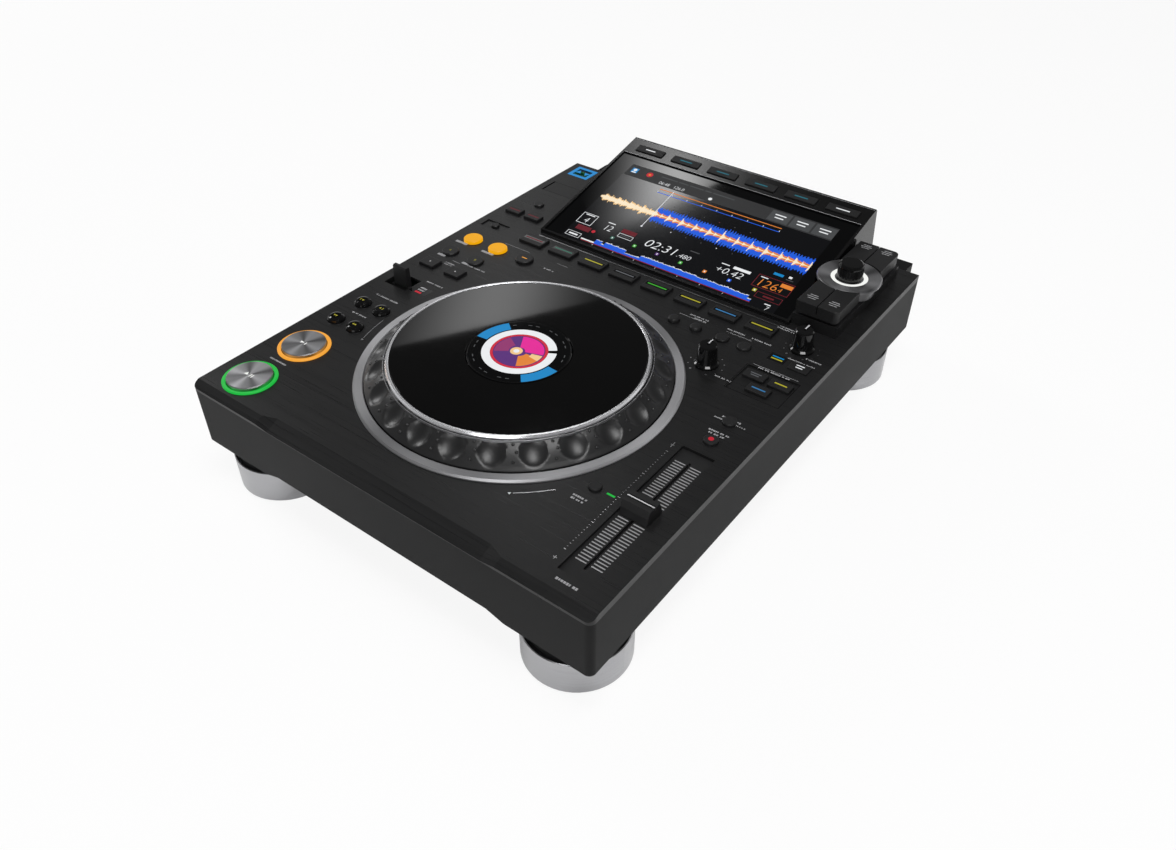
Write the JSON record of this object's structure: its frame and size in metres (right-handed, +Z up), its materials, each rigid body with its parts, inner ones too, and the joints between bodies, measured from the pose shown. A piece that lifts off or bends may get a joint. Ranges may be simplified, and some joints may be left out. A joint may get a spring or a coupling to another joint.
{
  "type": "tabletop dj media player",
  "caption": "Tabletop DJ player with a large jog wheel, raised display, pads, tempo fader, knobs and rear sockets.",
  "frame": {"origin": "middle of the overall box, on the surface that the feet stand on", "axes": "+Z up, +Y towards the rear sockets, +X to the right as the user faces the panel"},
  "size_m": [0.329, 0.453, 0.118],
  "materials": {
    "case_black": "fine satin",
    "panel_black": "hairline black",
    "key_black": "satin",
    "gloss_black": "gloss",
    "rubber_black": "matt",
    "brushed_silver": "brushed",
    "chrome": "polished",
    "connector_metal": "plated",
    "screen_glass": "gloss black glass",
    "light_guide": "lit",
    "pad_light": "lit",
    "circuit": "circuit board",
    "shield_steel": "plain sheet"
  },
  "bodies": {
    "player": {"lower_case": "case_black", "feet": "brushed_silver", "foot_pads": "rubber_black", "top_panel": "panel_black", "light_rings": "light_guide", "jog_bezel": "gloss_black", "jog_post": "case_black", "jog_display": "screen_glass", "fader_plate": "panel_black", "fader_unit": "shield_steel", "screen_housing": "gloss_black", "display_glass": "screen_glass", "rear_panel": "case_black", "rear_sockets": "connector_metal", "control_board": "circuit", "main_board": "circuit", "power_supply": "shield_steel", "browse_ring": "gloss_black"},
    "beat_jump_keys": {"beat_jump_keys": "key_black"},
    "beat_key": {"beat_key": "key_black"},
    "beat_loop_keys": {"beat_loop_keys": "key_black"},
    "beat_sync_key": {"beat_sync_key": "key_black"},
    "browse_knob": {"browse_knob": "gloss_black"},
    "browse_shaft": {"browse_shaft": "connector_metal"},
    "call_keys": {"call_keys": "key_black"},
    "card_door": {"card_door": "key_black"},
    "cue_button": {"cue_button": "key_black"},
    "direction_lever": {"direction_lever": "key_black"},
    "feel_knob": {"feel_knob": "gloss_black"},
    "hot_cue_key_1": {"hot_cue_key_1": "pad_light"},
    "hot_cue_key_2": {"hot_cue_key_2": "pad_light"},
    "hot_cue_key_3": {"hot_cue_key_3": "pad_light"},
    "hot_cue_key_4": {"hot_cue_key_4": "pad_light"},
    "hot_cue_key_5": {"hot_cue_key_5": "pad_light"},
    "hot_cue_key_6": {"hot_cue_key_6": "pad_light"},
    "hot_cue_key_7": {"hot_cue_key_7": "pad_light"},
    "hot_cue_key_8": {"hot_cue_key_8": "pad_light"},
    "jog_mode_key": {"jog_mode_key": "key_black"},
    "jog_platter": {"jog_platter": "gloss_black"},
    "jog_ring": {"jog_ring": "case_black", "jog_trim": "chrome"},
    "key_sync_key": {"key_sync_key": "key_black"},
    "lock_key": {"lock_key": "key_black"},
    "loop_keys": {"loop_keys": "pad_light"},
    "master_key": {"master_key": "key_black"},
    "master_tempo_key": {"master_tempo_key": "key_black"},
    "memory_keys": {"memory_keys": "key_black"},
    "play_button": {"play_button": "key_black"},
    "power_switch": {"power_switch": "key_black"},
    "release_knob": {"release_knob": "gloss_black"},
    "reloop_key": {"reloop_key": "pad_light"},
    "screen_keys": {"screen_keys": "key_black"},
    "search_keys": {"search_keys": "key_black"},
    "selector_keys_front": {"selector_keys_front": "key_black"},
    "selector_keys_rear": {"selector_keys_rear": "key_black"},
    "tempo_range_key": {"tempo_range_key": "key_black"},
    "tempo_reset_key": {"tempo_reset_key": "key_black"},
    "tempo_slider": {"tempo_slider": "gloss_black"},
    "time_keys": {"time_keys": "key_black"},
    "track_keys": {"track_keys": "key_black"}
  },
  "joints": [
    {"name": "beat_jump_keys_press", "type": "slide", "parent": "player", "child": "beat_jump_keys", "axis": [0, 0, 1], "range_m": [-0.0015, 0], "stiffness_N_per_m": 400, "springref_m": 0.0005},
    {"name": "beat_key_press", "type": "slide", "parent": "player", "child": "beat_key", "axis": [0, 0, 1], "range_m": [-0.0015, 0], "stiffness_N_per_m": 400, "springref_m": 0.0005},
    {"name": "beat_loop_keys_press", "type": "slide", "parent": "player", "child": "beat_loop_keys", "axis": [0, 0, 1], "range_m": [-0.0015, 0], "stiffness_N_per_m": 400, "springref_m": 0.0005},
    {"name": "beat_sync_key_press", "type": "slide", "parent": "player", "child": "beat_sync_key", "axis": [0, 0, 1], "range_m": [-0.0015, 0], "stiffness_N_per_m": 400, "springref_m": 0.0005},
    {"name": "call_keys_press", "type": "slide", "parent": "player", "child": "call_keys", "axis": [0, 0, 1], "range_m": [-0.0015, 0], "stiffness_N_per_m": 400, "springref_m": 0.0005},
    {"name": "cue_button_press", "type": "slide", "parent": "player", "child": "cue_button", "axis": [0, 0, 1], "range_m": [-0.0015, 0], "stiffness_N_per_m": 400, "springref_m": 0.0005},
    {"name": "hot_cue_key_1_press", "type": "slide", "parent": "player", "child": "hot_cue_key_1", "axis": [0, 0, 1], "range_m": [-0.0015, 0], "stiffness_N_per_m": 400, "springref_m": 0.0005},
    {"name": "hot_cue_key_2_press", "type": "slide", "parent": "player", "child": "hot_cue_key_2", "axis": [0, 0, 1], "range_m": [-0.0015, 0], "stiffness_N_per_m": 400, "springref_m": 0.0005},
    {"name": "hot_cue_key_3_press", "type": "slide", "parent": "player", "child": "hot_cue_key_3", "axis": [0, 0, 1], "range_m": [-0.0015, 0], "stiffness_N_per_m": 400, "springref_m": 0.0005},
    {"name": "hot_cue_key_4_press", "type": "slide", "parent": "player", "child": "hot_cue_key_4", "axis": [0, 0, 1], "range_m": [-0.0015, 0], "stiffness_N_per_m": 400, "springref_m": 0.0005},
    {"name": "hot_cue_key_5_press", "type": "slide", "parent": "player", "child": "hot_cue_key_5", "axis": [0, 0, 1], "range_m": [-0.0015, 0], "stiffness_N_per_m": 400, "springref_m": 0.0005},
    {"name": "hot_cue_key_6_press", "type": "slide", "parent": "player", "child": "hot_cue_key_6", "axis": [0, 0, 1], "range_m": [-0.0015, 0], "stiffness_N_per_m": 400, "springref_m": 0.0005},
    {"name": "hot_cue_key_7_press", "type": "slide", "parent": "player", "child": "hot_cue_key_7", "axis": [0, 0, 1], "range_m": [-0.0015, 0], "stiffness_N_per_m": 400, "springref_m": 0.0005},
    {"name": "hot_cue_key_8_press", "type": "slide", "parent": "player", "child": "hot_cue_key_8", "axis": [0, 0, 1], "range_m": [-0.0015, 0], "stiffness_N_per_m": 400, "springref_m": 0.0005},
    {"name": "jog_mode_key_press", "type": "slide", "parent": "player", "child": "jog_mode_key", "axis": [0, 0, 1], "range_m": [-0.0015, 0], "stiffness_N_per_m": 400, "springref_m": 0.0005},
    {"name": "key_sync_key_press", "type": "slide", "parent": "player", "child": "key_sync_key", "axis": [0, 0, 1], "range_m": [-0.0015, 0], "stiffness_N_per_m": 400, "springref_m": 0.0005},
    {"name": "lock_key_press", "type": "slide", "parent": "player", "child": "lock_key", "axis": [0, 0, 1], "range_m": [-0.0015, 0], "stiffness_N_per_m": 400, "springref_m": 0.0005},
    {"name": "loop_keys_press", "type": "slide", "parent": "player", "child": "loop_keys", "axis": [0, 0, 1], "range_m": [-0.0015, 0], "stiffness_N_per_m": 400, "springref_m": 0.0005},
    {"name": "master_key_press", "type": "slide", "parent": "player", "child": "master_key", "axis": [0, 0, 1], "range_m": [-0.0015, 0], "stiffness_N_per_m": 400, "springref_m": 0.0005},
    {"name": "master_tempo_key_press", "type": "slide", "parent": "player", "child": "master_tempo_key", "axis": [0, 0, 1], "range_m": [-0.0015, 0], "stiffness_N_per_m": 400, "springref_m": 0.0005},
    {"name": "memory_keys_press", "type": "slide", "parent": "player", "child": "memory_keys", "axis": [0, 0, 1], "range_m": [-0.0015, 0], "stiffness_N_per_m": 400, "springref_m": 0.0005},
    {"name": "play_button_press", "type": "slide", "parent": "player", "child": "play_button", "axis": [0, 0, 1], "range_m": [-0.0015, 0], "stiffness_N_per_m": 400, "springref_m": 0.0005},
    {"name": "reloop_key_press", "type": "slide", "parent": "player", "child": "reloop_key", "axis": [0, 0, 1], "range_m": [-0.0015, 0], "stiffness_N_per_m": 400, "springref_m": 0.0005},
    {"name": "screen_keys_press", "type": "slide", "parent": "player", "child": "screen_keys", "axis": [0, -0.2318, 0.9728], "range_m": [-0.0008, 0], "stiffness_N_per_m": 400, "springref_m": 0.0005},
    {"name": "search_keys_press", "type": "slide", "parent": "player", "child": "search_keys", "axis": [0, 0, 1], "range_m": [-0.0015, 0], "stiffness_N_per_m": 400, "springref_m": 0.0005},
    {"name": "selector_keys_front_press", "type": "slide", "parent": "player", "child": "selector_keys_front", "axis": [0, 0, 1], "range_m": [-0.0015, 0], "stiffness_N_per_m": 400, "springref_m": 0.0005},
    {"name": "selector_keys_rear_press", "type": "slide", "parent": "player", "child": "selector_keys_rear", "axis": [0, 0, 1], "range_m": [-0.0015, 0], "stiffness_N_per_m": 400, "springref_m": 0.0005},
    {"name": "tempo_range_key_press", "type": "slide", "parent": "player", "child": "tempo_range_key", "axis": [0, 0, 1], "range_m": [-0.0015, 0], "stiffness_N_per_m": 400, "springref_m": 0.0005},
    {"name": "tempo_reset_key_press", "type": "slide", "parent": "player", "child": "tempo_reset_key", "axis": [0, 0, 1], "range_m": [-0.0015, 0], "stiffness_N_per_m": 400, "springref_m": 0.0005},
    {"name": "time_keys_press", "type": "slide", "parent": "player", "child": "time_keys", "axis": [0, 0, 1], "range_m": [-0.0015, 0], "stiffness_N_per_m": 400, "springref_m": 0.0005},
    {"name": "track_keys_press", "type": "slide", "parent": "player", "child": "track_keys", "axis": [0, 0, 1], "range_m": [-0.0015, 0], "stiffness_N_per_m": 400, "springref_m": 0.0005},
    {"name": "jog_ring_turn", "type": "hinge", "parent": "player", "child": "jog_ring", "pos_m": [0, -0.086, 0.085], "axis": [0, 0, 1], "continuous": true},
    {"name": "jog_platter_press", "type": "slide", "parent": "jog_ring", "child": "jog_platter", "axis": [0, 0, 1], "range_m": [-0.0003, 0], "stiffness_N_per_m": 4000, "springref_m": 0.0005},
    {"name": "feel_knob_turn", "type": "hinge", "parent": "player", "child": "feel_knob", "pos_m": [0.095, -0.0045, 0.09], "axis": [0, 0, 1], "range_deg": [-150, 150]},
    {"name": "release_knob_turn", "type": "hinge", "parent": "player", "child": "release_knob", "pos_m": [0.1385, 0.0495, 0.09], "axis": [0, 0, 1], "range_deg": [-150, 150]},
    {"name": "tempo_slide", "type": "slide", "parent": "player", "child": "tempo_slider", "axis": [0, 1, 0], "range_m": [-0.05, 0.05]},
    {"name": "direction_lever_tilt", "type": "hinge", "parent": "player", "child": "direction_lever", "pos_m": [-0.144, -0.0525, 0.077], "axis": [1, 0, 0], "range_deg": [-12, 12]},
    {"name": "power_switch_rock", "type": "hinge", "parent": "player", "child": "power_switch", "pos_m": [0.131, 0.2133, 0.058], "axis": [1, 0, 0], "range_deg": [-8, 8]},
    {"name": "card_door_open", "type": "hinge", "parent": "player", "child": "card_door", "pos_m": [-0.1555, 0.1402, 0.081], "axis": [0, -1, 0], "range_deg": [0, 90]},
    {"name": "browse_shaft_press", "type": "slide", "parent": "player", "child": "browse_shaft", "axis": [0, 0, 1], "range_m": [-0.0006, 0], "stiffness_N_per_m": 2000, "springref_m": 0.0005},
    {"name": "browse_knob_turn", "type": "hinge", "parent": "browse_shaft", "child": "browse_knob", "pos_m": [0.134, 0.1265, 0.105], "axis": [0, 0, 1], "continuous": true}
  ]
}
